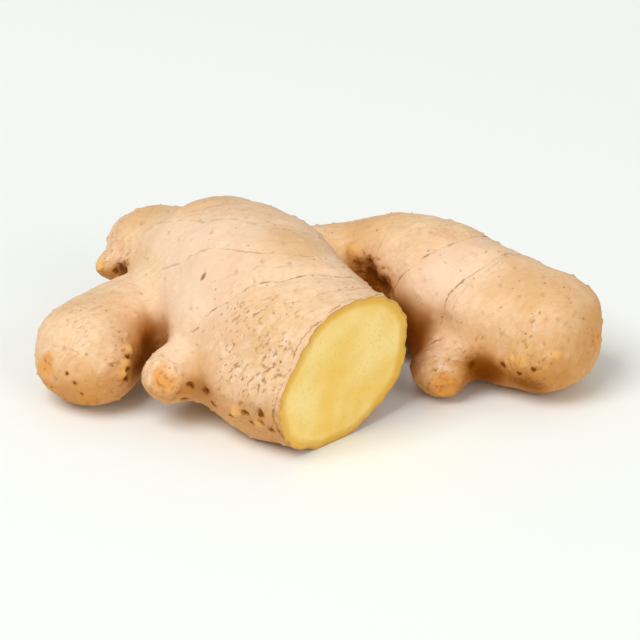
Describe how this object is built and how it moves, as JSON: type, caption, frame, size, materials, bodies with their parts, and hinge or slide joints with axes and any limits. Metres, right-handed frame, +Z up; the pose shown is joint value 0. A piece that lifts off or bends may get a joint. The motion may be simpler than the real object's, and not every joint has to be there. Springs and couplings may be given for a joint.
{
  "type": "ginger root",
  "caption": "Hand of fresh ginger lying on its side: a stout ringed body cut straight across at one end, a long side finger, and short round knobs and buds.",
  "frame": {"origin": "on the table, under the middle of the root's bounding box", "axes": "+X along the root's length towards the side finger's free end, +Y away from the cut end, +Z up"},
  "size_m": [0.1244, 0.0784, 0.0397],
  "materials": {
    "skin": "thin dry corky skin, matt with a slight sheen, and one moist yellow cut face"
  },
  "bodies": {
    "root": {"ginger_root": "skin"}
  },
  "joints": []
}
